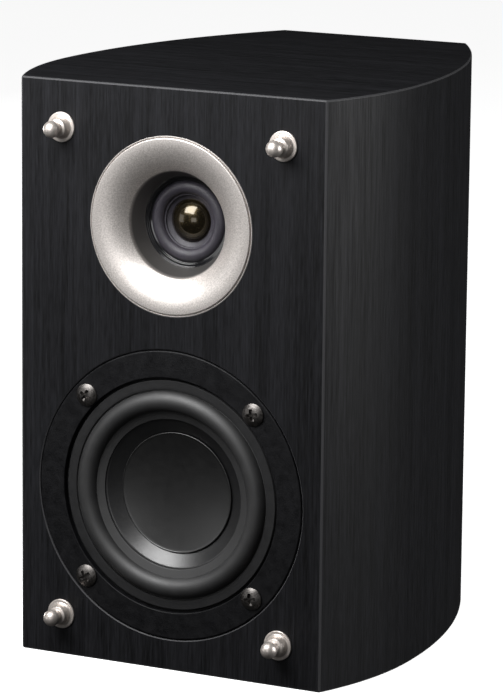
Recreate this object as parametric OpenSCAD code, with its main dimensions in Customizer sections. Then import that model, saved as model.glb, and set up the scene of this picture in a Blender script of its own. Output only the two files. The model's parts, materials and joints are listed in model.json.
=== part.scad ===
// Two-way bookshelf speaker with curved sides, a round woofer and a waveguide tweeter.
// Millimetres. +Z is up and the front faces -Y. The origin is the centre of the footprint.

/* [Cabinet] */
// Width of the flat front
front_w = 125; // [124:0.5:130]
// Height of the cabinet
cab_h = 218; // [216:1:240]
// Depth from the front plane to the rear plane
cab_d = 171; // [168:1:190]
// Width at the widest point of the curved sides
waist_w = 148; // [144:1:156]
// How far behind the front plane the widest point lies
waist_y = 52; // [46:1:60]
// Width of the flat rear
rear_w = 80; // [78:1:92]
// Thickness of the front baffle
baffle_t = 15; // [14:0.5:15]
// Thickness of the other panels
panel_t = 12; // [10:0.5:12]

/* [Woofer] */
// Height of the woofer's axis
woofer_z = 66.5; // [66:0.5:68]
// Outer radius of the woofer's flange
frame_r = 54.4; // [54:0.1:55]
// Radius of the circle that the four woofer screws sit on
screw_circle_r = 48.8; // [48.6:0.1:49.2]
// Inner radius of the woofer's voice coil former
coil_r = 12.5; // [12.4:0.05:12.5]

/* [Tweeter] */
// Height of the tweeter's axis
tweeter_z = 167; // [166:0.5:170]
// Outer radius of the waveguide
guide_r = 33; // [32.6:0.1:33.4]
// Depth of the waveguide's flare
guide_depth = 12; // [11.6:0.1:12]
// Radius of the waveguide's throat
throat_r = 17; // [16.8:0.1:17.2]

/* [Grille studs] */
// Distance between the left and right studs
stud_dx = 91; // [90:0.5:96]
// Distance between the lower and upper studs
stud_dz = 184.5; // [184:0.5:185]
// How far the studs stand out from the front
stud_len = 10.5; // [10:0.5:12]

/* [Rear terminals and port] */
// Height of the terminal cup's centre
cup_z = 56; // [54:1:60]
// Distance between the two binding posts
post_dx = 19; // [19:0.5:20]
// Height of the port's axis
port_z = 163; // [160:1:166]
// Bore radius of the port tube
port_r = 14; // [13:0.5:14]
// Length of the port tube
port_len = 74; // [60:1:76]

/* [Hidden] */
$fn = 96;
eps = 0.01;
glue = 0.05;          // gap left at each glued or threaded seat
cup_flange_t = 1.8;
front_y = -(cab_d + cup_flange_t - stud_len) / 2;
rear_y = front_y + cab_d;
bulge = (waist_w - front_w) / 2;
front_arc_r = (pow(waist_y, 2) + pow(bulge, 2)) / (2 * bulge);
taper = (waist_w - rear_w) / 2;
taper_len = cab_d - waist_y;
rear_arc_r = (pow(taper_len, 2) + pow(taper, 2)) / (2 * taper);

// woofer, depths measured from the front plane
flange_t = 3;
seal_t = 0.8;
recess_gap = 0.6;
well_r = frame_r - 10.1;      // inner edge of the flat flange
seat_r = frame_r - 15.5;      // inner edge of the surround's seat
hole_r = frame_r - 7.4;       // hole through the baffle
seat_z = -2.3;
roll_out_r = 39.2;
roll_in_r = 31.4;
roll_t = 0.7;
landing_t = 0.6;
cone_edge_r = 28.3;
cone_rim_z = -3.2;
cone_neck_z = -11.7;
cone_t = 0.8;
cap_r = 22.8;
cap_rim_z = -5.65;
cap_dish = 3;
cap_t = 0.5;
former_t = 0.3;
coil_t = 0.55;
former_end_z = -33;
shelf_z = -15.6;
gap_plate_z = -27;            // front face of the woofer's top plate
gap_plate_t = 4;
magnet_t = 12;
yoke_t = 4;
gap_clear = 0.5;

// tweeter
ring_t = 2.4;
tw_plane_z = -(guide_depth + ring_t);
tw_roll_out_r = 15.3;
tw_roll_in_r = 10.2;
tw_cone_neck_r = 8.3;
tw_cone_drop = 1.2;
tw_dome_h = 4;
tw_shell_t = 0.35;
tw_plate_z = -20;
tw_gap_plate_t = 2.5;
tw_magnet_t = 8;
tw_former_r = 7.8;
tw_former_t = 0.2;

// rear
cup_w = 62;
cup_h = 56;
cup_well_w = 46;
cup_well_h = 38;
cup_depth = 17;
cup_wall = 2;
post_r = 3;
socket_r = 2.05;
knob_r = 7.4;
knob_h = 10;
board_y = 78;
board_w = 64;
board_d = 52;
board_t = 1.6;
board_z = panel_t + 6;

// ---------- places ----------

// The front plane's frame at height z: local +Z points out towards the listener.
module at_front(x, z) { translate([x, front_y, z]) rotate([90, 0, 0]) children(); }

// The rear plane's frame: local +Z points out behind, local -Y is up.
module at_rear(x, z) { translate([x, rear_y, z]) rotate([-90, 0, 0]) children(); }

module at_woofer() { at_front(0, woofer_z) children(); }
module at_tweeter() { at_front(0, tweeter_z) children(); }

module four_round(r, start = 45) {
    for (a = [0:90:270]) rotate(a + start) translate([r, 0, 0]) children();
}

module three_round(r) {
    for (a = [30:120:270]) rotate(a) translate([r, 0, 0]) children();
}

module four_corners(dx, dy) {
    for (sx = [-1, 1]) for (sy = [-1, 1]) translate([sx * dx / 2, sy * dy / 2, 0]) children();
}

// A tube or washer on the local Z axis, from z0 up to z1.
module ring(r_in, r_out, z0, z1) {
    translate([0, 0, z0]) difference() {
        cylinder(r = r_out, h = z1 - z0);
        translate([0, 0, -1]) cylinder(r = r_in, h = z1 - z0 + 2);
    }
}

// Points along an arc, from angle a0 to angle a1.
function arc(cx, cy, r, a0, a1, n) =
    [for (i = [0:n]) let (a = a0 + (a1 - a0) * i / n) [cx + r * cos(a), cy + r * sin(a)]];

// ---------- cabinet ----------

// One stretch of the cabinet's outline, between two mirrored arcs about the widest point.
module outline_part(arc_r, y0, y1, inset) {
    intersection() {
        translate([waist_w / 2 - arc_r, waist_y]) circle(arc_r - inset);
        translate([arc_r - waist_w / 2, waist_y]) circle(arc_r - inset);
        translate([-waist_w, y0]) square([2 * waist_w, y1 - y0]);
    }
}

// A slab of the cabinet's plan between two depths and two heights.
module slab(y0, y1, z0, z1, inset = 0) {
    translate([0, front_y, z0]) {
        if (y0 < waist_y)
            linear_extrude(z1 - z0) outline_part(front_arc_r, y0, min(y1, waist_y), inset);
        if (y1 > waist_y)
            linear_extrude(z1 - z0) outline_part(rear_arc_r, max(y0, waist_y), y1, inset);
    }
}

module front_baffle() {
    color([0.09, 0.09, 0.1]) difference() {
        slab(0, baffle_t, 0, cab_h);
        at_woofer() {
            translate([0, 0, -flange_t - seal_t]) cylinder(r = frame_r + recess_gap, h = 10);
            translate([0, 0, -baffle_t - 5]) cylinder(r = hole_r, h = 30);
            four_round(screw_circle_r) translate([0, 0, -13.5]) cylinder(r = 1.7 + glue, h = 14);
        }
        at_tweeter() {
            translate([0, 0, -3]) cylinder(r = guide_r + 0.35, h = 10);
            translate([0, 0, -baffle_t - 5]) cylinder(r = guide_r - 3.2, h = 30);
            three_round(guide_r + 1.5) translate([0, 0, -baffle_t - 1]) cylinder(r = 1.2 + glue, h = 8.5);
        }
        at_front(0, cab_h / 2 - 1) four_corners(stud_dx, stud_dz)
            translate([0, 0, -10.5]) cylinder(r = 2 + glue, h = 14);
    }
}

module side_panel(side) {
    z0 = panel_t;
    z1 = cab_h - panel_t;
    y0 = baffle_t;
    y1 = cab_d - panel_t;
    color([0.08, 0.08, 0.09]) intersection() {
        difference() {
            slab(y0, y1, z0, z1);
            slab(y0 - 1, y1 + 1, z0 - 1, z1 + 1, panel_t);
        }
        translate([side > 0 ? 0 : -waist_w, front_y, 0]) cube([waist_w, cab_d, cab_h]);
    }
}

module left_side_panel() { side_panel(-1); }
module right_side_panel() { side_panel(1); }
module top_panel() { color([0.09, 0.09, 0.1]) slab(baffle_t, cab_d, cab_h - panel_t, cab_h); }

module bottom_panel() {
    color([0.08, 0.08, 0.09]) difference() {
        slab(baffle_t, cab_d, 0, panel_t);
        at_board() four_corners(board_w - 8, board_d - 8)
            translate([0, 0, panel_t - 7]) cylinder(r = 1.2 + glue, h = 10);
    }
}

module rear_panel() {
    color([0.07, 0.07, 0.08]) difference() {
        slab(cab_d - panel_t, cab_d, panel_t, cab_h - panel_t);
        at_rear(0, port_z) {
            translate([0, 0, -panel_t - 1]) cylinder(r = port_r + 2 + glue, h = panel_t + 2);
            translate([0, 0, -2.5]) cylinder(r = port_r + 9.3, h = 5);
        }
        at_rear(0, cup_z) {
            rounded_slab(cup_well_w + 2 * cup_wall + 0.6, cup_well_h + 2 * cup_wall + 0.6,
                         7, -panel_t - 1, 1);
            four_corners(cup_w - 8, cup_h - 8) translate([0, 0, -10.5]) cylinder(r = 1.2 + glue, h = 14);
        }
    }
}

// ---------- grille studs ----------

// A turned stud: threaded shank, flange, tapered boss, neck and a round tip.
module stud() {
    tip_r = 3;
    neck_r = 2.2;
    boss_r = 3.3;
    shoulder = 0.7;
    tip_z = stud_len - tip_r;
    grip_z = tip_z - 2;       // where the straight part under the tip starts
    neck_z = grip_z - 1.3;
    boss_z = neck_z - 0.6;
    flange_z = 0.7;
    foot_z = flange_z + 0.5;
    translate([0, 0, -10]) cylinder(r = 2, h = 10);
    cylinder(r = 5.6, h = flange_z);
    translate([0, 0, flange_z]) cylinder(r1 = 5.4, r2 = 4.2, h = foot_z - flange_z);
    translate([0, 0, foot_z]) cylinder(r1 = boss_r + shoulder, r2 = boss_r, h = boss_z - foot_z);
    translate([0, 0, boss_z]) cylinder(r1 = boss_r, r2 = neck_r, h = neck_z - boss_z);
    translate([0, 0, neck_z]) cylinder(r = neck_r, h = 0.7);
    translate([0, 0, neck_z + 0.7]) cylinder(r1 = neck_r, r2 = tip_r, h = grip_z - neck_z - 0.7);
    translate([0, 0, grip_z]) cylinder(r = tip_r, h = tip_z - grip_z);
    translate([0, 0, tip_z]) difference() {
        sphere(r = tip_r);
        translate([0, 0, -2 * tip_r]) cube([4 * tip_r, 4 * tip_r, 4 * tip_r], center = true);
    }
}

module grille_studs() {
    color([0.8, 0.77, 0.72]) at_front(0, cab_h / 2 - 1) four_corners(stud_dx, stud_dz) stud();
}

// ---------- tweeter ----------

// The flare, a quarter ellipse that starts level at the rim and ends along the throat.
function flare(rim_r, throat, z_rim, depth, n) =
    [for (i = [0:n]) let (a = 90 * i / n)
        [rim_r - (rim_r - throat) * sin(a), z_rim - depth * (1 - cos(a))]];

module tweeter_waveguide() {
    wall = 2;
    lip = 0.6;
    steps = 16;
    front = flare(guide_r - 1.4, throat_r, lip, guide_depth + lip, steps);
    back = flare(guide_r - 4.6, throat_r + wall, -2.7, guide_depth - 2.7, steps);
    color([0.72, 0.7, 0.67]) at_tweeter() {
        rotate_extrude() polygon(concat(
            [[guide_r, -2.9], [guide_r, 0.1]],
            arc(guide_r - 0.6, 0, 0.6, 20, 90, 4),
            front,
            [for (i = [steps:-1:0]) back[i]],
            [[guide_r - 5.4, -2.9], [guide_r - 5.4, -baffle_t + 0.2],
             [guide_r - 3.5, -baffle_t + 0.2], [guide_r - 3.5, -2.9]]));
    }
}

module tweeter_throat_ring() {
    r_out = 24;
    color([0.03, 0.03, 0.035]) at_tweeter() rotate_extrude() polygon([
        [r_out, tw_plane_z], [r_out, -guide_depth - glue],
        [throat_r - 0.1, -guide_depth - glue], [throat_r - 0.4, -guide_depth - 0.5],
        [throat_r - 0.4, -guide_depth - 1], [throat_r - 0.8, -guide_depth - 1.3],
        [throat_r - 0.9, tw_plane_z]]);
}

module tweeter_mount_plate() {
    boss_r = 26.8;
    color([0.1, 0.1, 0.11]) at_tweeter() difference() {
        union() {
            ring(tw_roll_out_r + 0.2, boss_r, tw_plate_z, tw_plane_z - glue);
            ring(boss_r - 1, guide_r + 5, tw_plate_z + 2, -baffle_t - glue);
        }
        // seat for the surround's edge
        translate([0, 0, tw_plane_z - 0.5]) cylinder(r = 18.4, h = 3);
        three_round(guide_r + 1.5) translate([0, 0, -30]) cylinder(r = 1.5, h = 20);
    }
}

module tweeter_surround() {
    mid_r = (tw_roll_out_r + tw_roll_in_r) / 2;
    half_w = (tw_roll_out_r - tw_roll_in_r) / 2;
    base_z = tw_plane_z - 0.45;
    color([0.22, 0.21, 0.25]) at_tweeter() {
        rotate_extrude() translate([mid_r, base_z]) difference() {
            circle(r = half_w + tw_shell_t / 2);
            circle(r = half_w - tw_shell_t / 2);
            translate([-5, -10]) square([10, 10]);
        }
        ring(tw_roll_out_r - 0.1, 18.2, base_z, base_z + tw_shell_t);
        ring(tw_roll_in_r - 0.5, tw_roll_in_r + 0.1, base_z, base_z + tw_shell_t);
    }
}

module tweeter_diaphragm() {
    z0 = tw_plane_z - 0.5;
    color([0.2, 0.19, 0.23]) at_tweeter() rotate_extrude() polygon([
        [tw_roll_in_r, z0], [tw_roll_in_r - 0.6, z0],
        [tw_cone_neck_r - 0.1, z0 - tw_cone_drop], [tw_cone_neck_r - 0.1, z0 - tw_cone_drop - tw_shell_t],
        [tw_roll_in_r - 0.5, z0 - tw_shell_t], [tw_roll_in_r, z0 - tw_shell_t]]);
}

module tweeter_dome() {
    z0 = tw_plane_z - 0.5 - tw_cone_drop;
    r = tw_cone_neck_r - 0.15;
    ball_r = (pow(r, 2) + pow(tw_dome_h, 2)) / (2 * tw_dome_h);
    inner_r = ball_r - 0.3;
    color([0.12, 0.1, 0.06]) at_tweeter() translate([0, 0, z0]) intersection() {
        translate([0, 0, tw_dome_h - ball_r]) difference() {
            sphere(r = ball_r);
            sphere(r = inner_r);
        }
        cylinder(r = 2 * r, h = 10);
    }
}

module tweeter_coil_former() {
    z1 = tw_plane_z - 0.5 - tw_cone_drop - glue;
    color([0.75, 0.72, 0.6]) at_tweeter() ring(tw_former_r, tw_former_r + tw_former_t, -24.4, z1 - 0.1);
}

module tweeter_voice_coil() {
    r0 = tw_former_r + tw_former_t + 0.02;
    color([0.72, 0.4, 0.2]) at_tweeter() ring(r0, r0 + 0.3, -24, -20.4);
}

module tweeter_top_plate() {
    color([0.6, 0.6, 0.62]) at_tweeter()
        ring(tw_former_r + 1.1, 20, tw_plate_z - tw_gap_plate_t, tw_plate_z - glue);
}

module tweeter_magnet() {
    z1 = tw_plate_z - tw_gap_plate_t - glue;
    color([0.17, 0.17, 0.18]) at_tweeter() ring(10.5, 22.5, z1 - tw_magnet_t, z1);
}

module tweeter_yoke() {
    z1 = tw_plate_z - tw_gap_plate_t - tw_magnet_t - 2 * glue;
    color([0.6, 0.6, 0.62]) at_tweeter() {
        translate([0, 0, z1 - 3]) cylinder(r = 20, h = 3);
        translate([0, 0, z1 - 0.5]) cylinder(r = tw_former_r - gap_clear, h = tw_plate_z - z1);
    }
}

module tweeter_lugs() {
    color([0.8, 0.66, 0.35]) at_tweeter() for (s = [-1, 1])
        translate([s * 8 - 1.4, 22.9, -30]) cube([2.8, 0.8, tw_plate_z + 30 - glue]);
}

module tweeter_screws() {
    color([0.5, 0.5, 0.52]) at_tweeter() three_round(guide_r + 1.5)
        translate([0, 0, tw_plate_z + 2]) rotate([180, 0, 0]) pan_screw(2.6, 1.8, 1.2, 9);
}

// ---------- screws ----------

// A cross recess cut into a head whose top is at height top.
module cross_recess(top, w, len, depth) {
    for (a = [0, 90]) rotate(a) translate([-len / 2, -w / 2, top - depth]) cube([len, w, depth + 1]);
}

// A domed screw head on z = 0 with its shank below it.
module pan_screw(head_r, head_h, shank_r, shank_len) {
    edge_h = head_h * 0.4;
    crown = head_h - edge_h;
    dome_r = (pow(head_r, 2) + pow(crown, 2)) / (2 * crown);
    difference() {
        union() {
            cylinder(r = head_r, h = edge_h + eps);
            intersection() {
                translate([0, 0, head_h - dome_r]) sphere(r = dome_r);
                translate([0, 0, edge_h]) cylinder(r = head_r, h = head_h);
            }
        }
        cross_recess(head_h, head_r * 0.26, head_r * 1.15, head_h * 0.6);
    }
    translate([0, 0, -shank_len]) cylinder(r = shank_r, h = shank_len);
}

// ---------- woofer ----------

module woofer_basket() {
    wall = 1.5;
    shoulder_z = -8;
    body_r = hole_r - 1.2;
    rear_r = 31;
    ring_z = gap_plate_z + wall;
    color([0.07, 0.07, 0.075]) at_woofer() difference() {
        rotate_extrude() polygon([
            [frame_r - 0.5, 0], [frame_r, -0.5], [frame_r, -flange_t], [body_r, -flange_t],
            [body_r, shoulder_z], [rear_r, shelf_z - wall], [rear_r, gap_plate_z + glue],
            [coil_r + 2.1, gap_plate_z + glue], [coil_r + 2.1, ring_z], [rear_r - wall, ring_z],
            [rear_r - wall, shelf_z - wall], [25.5, shelf_z - wall], [25.5, shelf_z],
            [rear_r - 1, shelf_z], [body_r - wall, shoulder_z], [body_r - wall, -3.8],
            [seat_r, -3.8], [seat_r, seat_z], [well_r, seat_z], [well_r, -0.3], [well_r + 0.3, 0]]);
        four_round(screw_circle_r) translate([0, 0, -10]) cylinder(r = 2.2, h = 20);
        // windows between the four arms
        for (a = [0:90:270]) rotate(a) translate([20, -13, shelf_z + 0.5]) cube([40, 26, 9]);
        for (a = [0, 180, 270]) rotate(a) translate([20, -9, ring_z + 2]) cube([40, 18, 5.5]);
    }
}

module woofer_seal() {
    color([0.15, 0.15, 0.15]) at_woofer() difference() {
        ring(hole_r + 0.4, frame_r - 0.3, -flange_t - seal_t, -flange_t);
        four_round(screw_circle_r) translate([0, 0, -10]) cylinder(r = 2.2, h = 20);
    }
}

module woofer_gasket_ring() {
    z0 = seat_z + landing_t;
    color([0.1, 0.1, 0.11]) at_woofer() rotate_extrude() polygon([
        [roll_out_r + 0.4, z0], [roll_out_r + 0.4, z0 + 0.5], [roll_out_r + 0.7, z0 + 0.8],
        [well_r - 1.1, z0 + 0.8], [well_r - 0.8, z0 + 0.5], [well_r - 0.8, z0]]);
}

module woofer_surround() {
    mid_r = (roll_out_r + roll_in_r) / 2;
    half_w = (roll_out_r - roll_in_r) / 2;
    color([0.06, 0.06, 0.065]) at_woofer() {
        rotate_extrude() translate([mid_r, seat_z]) difference() {
            circle(r = half_w);
            circle(r = half_w - roll_t);
            translate([-10, -20]) square([20, 20]);
        }
        ring(roll_out_r - 0.3, well_r - 0.8, seat_z, seat_z + landing_t);
        rotate_extrude() polygon([
            [roll_in_r + 0.3, seat_z], [roll_in_r, seat_z + landing_t],
            [cone_edge_r, cone_rim_z + landing_t], [cone_edge_r, cone_rim_z + glue],
            [roll_in_r - 0.2, cone_rim_z + glue], [roll_in_r + 0.3, cone_rim_z + glue]]);
    }
}

module woofer_cone() {
    neck_r = coil_r + former_t + glue;
    color([0.08, 0.08, 0.085]) at_woofer() rotate_extrude() polygon([
        [neck_r, cone_neck_z], [cone_edge_r, cone_rim_z], [roll_in_r - 0.2, cone_rim_z],
        [roll_in_r - 0.2, cone_rim_z - cone_t], [cone_edge_r + 0.2, cone_rim_z - cone_t],
        [neck_r, cone_neck_z - cone_t - 0.2]]);
}

// A dished cap: its centre lies deeper than its rim.
module woofer_dust_cap() {
    steps = 12;
    function dish(r) = cap_rim_z - cap_dish * (1 - pow(r / cap_r, 2));
    color([0.09, 0.09, 0.095]) at_woofer() rotate_extrude() polygon(concat(
        [for (i = [0:steps]) let (r = cap_r * i / steps) [r, dish(r)]],
        [for (i = [steps:-1:0]) let (r = cap_r * i / steps) [r, dish(r) - cap_t]]));
}

module woofer_coil_former() {
    color([0.75, 0.7, 0.6]) at_woofer() ring(coil_r, coil_r + former_t, former_end_z, cone_neck_z + 0.8);
}

module woofer_voice_coil() {
    r0 = coil_r + former_t + 0.02;
    color([0.72, 0.4, 0.2]) at_woofer() ring(r0, r0 + coil_t, former_end_z, former_end_z + 8);
}

// A corrugated disc that centres the former.
module woofer_spider() {
    r0 = coil_r + former_t + glue;
    r1 = 25.5;
    steps = 24;
    waves = 3;
    t = 0.4;
    function wave(i) = shelf_z + t + 0.9 * sin(360 * waves * i / steps);
    color([0.6, 0.45, 0.2]) at_woofer() {
        rotate_extrude() polygon(concat(
            [for (i = [0:steps]) [r0 + (r1 - r0) * i / steps, wave(i)]],
            [[28.5, wave(steps)], [28.5, wave(steps) - t + glue]],
            [for (i = [steps:-1:0]) [r0 + (r1 - r0) * i / steps, wave(i) - t + glue]]));
    }
}

module woofer_top_plate() {
    color([0.6, 0.6, 0.62]) at_woofer()
        ring(coil_r + former_t + coil_t + gap_clear, 32.5, gap_plate_z - gap_plate_t, gap_plate_z);
}

module woofer_magnet() {
    z1 = gap_plate_z - gap_plate_t - glue;
    color([0.17, 0.17, 0.18]) at_woofer() ring(18, 36, z1 - magnet_t, z1);
}

module woofer_yoke() {
    z1 = gap_plate_z - gap_plate_t - magnet_t - 2 * glue;
    color([0.6, 0.6, 0.62]) at_woofer() difference() {
        union() {
            translate([0, 0, z1 - yoke_t]) cylinder(r = 33, h = yoke_t);
            translate([0, 0, z1 - 1]) cylinder(r = coil_r - gap_clear, h = gap_plate_z - z1 + 1);
        }
        translate([0, 0, z1 - yoke_t - 1]) cylinder(r = 3, h = 30);
    }
}

module woofer_terminal_board() {
    color([0.45, 0.3, 0.15]) at_woofer() translate([-8, 31 + glue, -24]) cube([16, 1.6, 7]);
}

module woofer_lugs() {
    color([0.8, 0.66, 0.35]) at_woofer() for (s = [-1, 1])
        translate([s * 4.5 - 1.4, 32.7, -28]) cube([2.8, 0.8, 10]);
}

module woofer_screws() {
    color([0.25, 0.24, 0.23]) at_woofer() four_round(screw_circle_r) pan_screw(4.4, 2.5, 1.7, 13);
}

// ---------- rear: port and terminals ----------

module rounded_slab(w, h, r, z0, z1) {
    translate([0, 0, z0]) linear_extrude(z1 - z0) {
        square([w - 2 * r, h], center = true);
        square([w, h - 2 * r], center = true);
        four_corners(w - 2 * r, h - 2 * r) circle(r);
    }
}

module port_tube() {
    wall = 2;
    mouth_r = port_r + 9;
    bend = 7;
    color([0.06, 0.06, 0.065]) at_rear(0, port_z) rotate_extrude() polygon(concat(
        [[port_r, -port_len]],
        arc(port_r + bend, -bend, bend, 180, 90, 12),
        [[mouth_r - 0.4, 0], [mouth_r, -0.4], [mouth_r, -2.4], [port_r + wall, -2.4],
         [port_r + wall, -port_len]]));
}

module terminal_cup() {
    color([0.07, 0.07, 0.075]) at_rear(0, cup_z) difference() {
        union() {
            rounded_slab(cup_w, cup_h, 5, glue, cup_flange_t);
            rounded_slab(cup_well_w + 2 * cup_wall, cup_well_h + 2 * cup_wall, 7,
                         -cup_depth - cup_wall, cup_flange_t);
        }
        rounded_slab(cup_well_w, cup_well_h, 5, -cup_depth, cup_flange_t + 1);
        for (s = [-1, 1]) translate([s * post_dx / 2, 0, -cup_depth - 5]) cylinder(r = post_r + glue, h = 10);
        four_corners(cup_w - 8, cup_h - 8) {
            translate([0, 0, -1]) cylinder(r = 1.6, h = 5);
            translate([0, 0, cup_flange_t - 1.2]) cylinder(r = 2.7, h = 5);
        }
    }
}

module terminal_cup_screws() {
    color([0.1, 0.1, 0.1]) at_rear(0, cup_z) four_corners(cup_w - 8, cup_h - 8)
        translate([0, 0, cup_flange_t - 1.2]) pan_screw(2.5, 1.2, 1.2, 9);
}

module at_post(side) { at_rear(side * post_dx / 2, cup_z) children(); }

// A hollow threaded post that takes a 4 mm plug from behind.
module post(side) {
    color([0.83, 0.68, 0.36]) at_post(side) difference() {
        translate([0, 0, -cup_depth - 9]) cylinder(r = post_r, h = cup_depth + 8);
        translate([0, 0, -cup_depth + 1]) cylinder(r = socket_r, h = 30);
    }
}

module post_base(side, tint) {
    color(tint) at_post(side) ring(post_r + glue, knob_r - 0.6, -cup_depth, -cup_depth + 3.4);
}

module clamp_washer(side) {
    z0 = -cup_depth + 3.4 + glue;
    color([0.83, 0.68, 0.36]) at_post(side) ring(post_r + 0.06, 6, z0, z0 + 0.9);
}

module knob(side, tint) {
    z0 = -cup_depth + 4.4;
    flutes = 18;
    color(tint) at_post(side) difference() {
        union() {
            translate([0, 0, z0 + glue]) cylinder(r = knob_r, h = knob_h - 1);
            translate([0, 0, z0 + knob_h - 1]) cylinder(r1 = knob_r, r2 = knob_r - 1, h = 1);
        }
        translate([0, 0, z0 - 1]) cylinder(r = post_r + 0.06, h = knob_h + 3);
        for (i = [0:flutes - 1]) rotate(360 * i / flutes) translate([knob_r + 0.4, 0, z0 + 2])
            cylinder(r = 0.8, h = knob_h);
    }
}

module positive_post() { post(-1); }
module negative_post() { post(1); }
module positive_post_base() { post_base(-1, [0.6, 0.05, 0.05]); }
module negative_post_base() { post_base(1, [0.05, 0.05, 0.05]); }
module positive_clamp_washer() { clamp_washer(-1); }
module negative_clamp_washer() { clamp_washer(1); }
module positive_knob() { knob(-1, [0.6, 0.05, 0.05]); }
module negative_knob() { knob(1, [0.05, 0.05, 0.05]); }

module terminal_nuts() {
    z0 = -cup_depth - cup_wall;
    color([0.8, 0.66, 0.35]) for (s = [-1, 1]) at_post(s) {
        difference() {
            translate([0, 0, z0 - 2.6]) cylinder(r = 5.2, h = 2.6 - glue, $fn = 6);
            translate([0, 0, z0 - 4]) cylinder(r = post_r + glue, h = 6);
        }
    }
}

// ---------- crossover ----------

module at_board() { translate([0, front_y + board_y + board_d / 2, 0]) children(); }

module crossover_board() {
    color([0.55, 0.4, 0.2]) at_board() difference() {
        translate([-board_w / 2, -board_d / 2, board_z]) cube([board_w, board_d, board_t]);
        four_corners(board_w - 8, board_d - 8) translate([0, 0, board_z - 1]) cylinder(r = 1.6, h = 5);
    }
}

module crossover_standoffs() {
    color([0.85, 0.85, 0.82]) at_board() four_corners(board_w - 8, board_d - 8)
        ring(1.6, 3, panel_t, board_z);
}

module crossover_screws() {
    top = board_z + board_t + glue;
    color([0.55, 0.55, 0.57]) at_board() four_corners(board_w - 8, board_d - 8)
        translate([0, 0, top]) pan_screw(2.5, 1.6, 1.2, top - panel_t + 5.5);
}

// A copper coil between two cheeks.
module bobbin(r_core, r_coil, h) {
    ring(r_core, r_coil + 1, 0, 1.2);
    ring(r_core, r_coil, 1.2, h - 1.2);
    ring(r_core, r_coil + 1, h - 1.2, h);
}

module woofer_inductor() {
    color([0.72, 0.4, 0.2]) at_board() translate([-14, 8, board_z + board_t]) bobbin(5, 13, 15);
}

module tweeter_inductor() {
    color([0.72, 0.4, 0.2]) at_board() translate([14, 12, board_z + board_t]) bobbin(3, 9, 10);
}

module crossover_capacitors() {
    color([0.1, 0.1, 0.3]) at_board() {
        for (y = [-20, -8.5]) translate([2, y, board_z + board_t + 5]) rotate([0, 90, 0])
            cylinder(r = 5, h = 20);
    }
}

module crossover_resistor() {
    color([0.88, 0.87, 0.82]) at_board() translate([-25, -20, board_z + board_t]) cube([22, 8, 8]);
}

// ---------- internal wires ----------

function unit(v) = v / norm(v);

// A smooth curve through hand-placed points, n steps for each stretch.
function curve(p, n) = concat(
    [for (i = [0:len(p) - 2]) for (j = [0:n - 1])
        let (t = j / n, a = p[max(i - 1, 0)], b = p[i], c = p[i + 1], d = p[min(i + 2, len(p) - 1)])
        0.5 * (2 * b + (c - a) * t + (2 * a - 5 * b + 4 * c - d) * t * t
               + (3 * b - a - 3 * c + d) * t * t * t)],
    [p[len(p) - 1]]);

// A round wire swept along a route, with its two ends closed.
module wire(route, r, n = 4, sides = 8) {
    c = curve(route, n);
    m = len(c);
    tangent = [for (i = [0:m - 1]) unit(c[min(i + 1, m - 1)] - c[max(i - 1, 0)])];
    side_dir = [for (t = tangent) unit(cross(t, [0.31, 0.23, 0.92]))];
    points = [for (i = [0:m - 1]) for (k = [0:sides - 1])
        let (a = 360 * k / sides, u = side_dir[i], v = cross(tangent[i], u))
        c[i] + r * (cos(a) * u + sin(a) * v)];
    walls = [for (i = [0:m - 2]) for (k = [0:sides - 1])
        let (q = (k + 1) % sides) each [
            [i * sides + k, (i + 1) * sides + k, (i + 1) * sides + q],
            [i * sides + k, (i + 1) * sides + q, i * sides + q]]];
    start = [for (k = [1:sides - 2]) [0, k, k + 1]];
    end = [for (k = [1:sides - 2]) let (e = (m - 1) * sides) [e, e + k + 1, e + k]];
    polyhedron(points, concat(walls, start, end));
}

// Routes are given in the front plane's frame: x, depth behind the front plane, height.
module wire_at(route, r, n = 4) { translate([0, front_y, 0]) wire(route, r, n); }

module input_wires() {
    color([0.5, 0.05, 0.05]) wire_at([[-9.5, 144, 56], [-10, 140, 54], [-15, 134, 40], [-20, 128, 28]], 1);
    color([0.05, 0.05, 0.05]) wire_at([[9.5, 144, 56], [10, 140, 54], [15, 134, 40], [20, 128, 28]], 1);
}

module woofer_wires() {
    color([0.5, 0.05, 0.05]) wire_at([[-4.5, 29.5, 100.5], [-6, 32, 107], [-12, 42, 109], [-28, 56, 96],
        [-32, 68, 66], [-30, 76, 42], [-26, 82, 28]], 1);
    color([0.05, 0.05, 0.05]) wire_at([[4.5, 29.5, 100.5], [6, 32, 107], [12, 42, 109], [28, 56, 96],
        [32, 68, 66], [30, 76, 42], [26, 82, 28]], 1);
}

module tweeter_wires() {
    color([0.5, 0.05, 0.05]) wire_at([[-8, 32, 191], [-16, 42, 190], [-38, 54, 170],
        [-52, 66, 130], [-48, 76, 80], [-36, 82, 44], [-28, 88, 30]], 0.9);
    color([0.05, 0.05, 0.05]) wire_at([[8, 32, 191], [16, 42, 190], [38, 54, 170],
        [52, 66, 130], [48, 76, 80], [36, 82, 44], [28, 88, 30]], 0.9);
}

module woofer_tinsel_leads() {
    color([0.75, 0.5, 0.3]) for (s = [-1, 1])
        translate([0, front_y, woofer_z]) wire([[4.5 * s, 17.3, 33.6], [5 * s, 14.5, 36.5], [6 * s, 12, 34],
            [6 * s, 11.5, 26], [5 * s, 12.6, 18], [4.5 * s, 12.7, 13.8]], 0.5);
}

// ---------- damping ----------

module damping_wadding() {
    color([0.92, 0.92, 0.9]) translate([0, front_y, 112]) linear_extrude(28) {
        translate([-34, 60]) square([68, 80]);
        translate([-44, 70]) square([88, 50]);
    }
}

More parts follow.
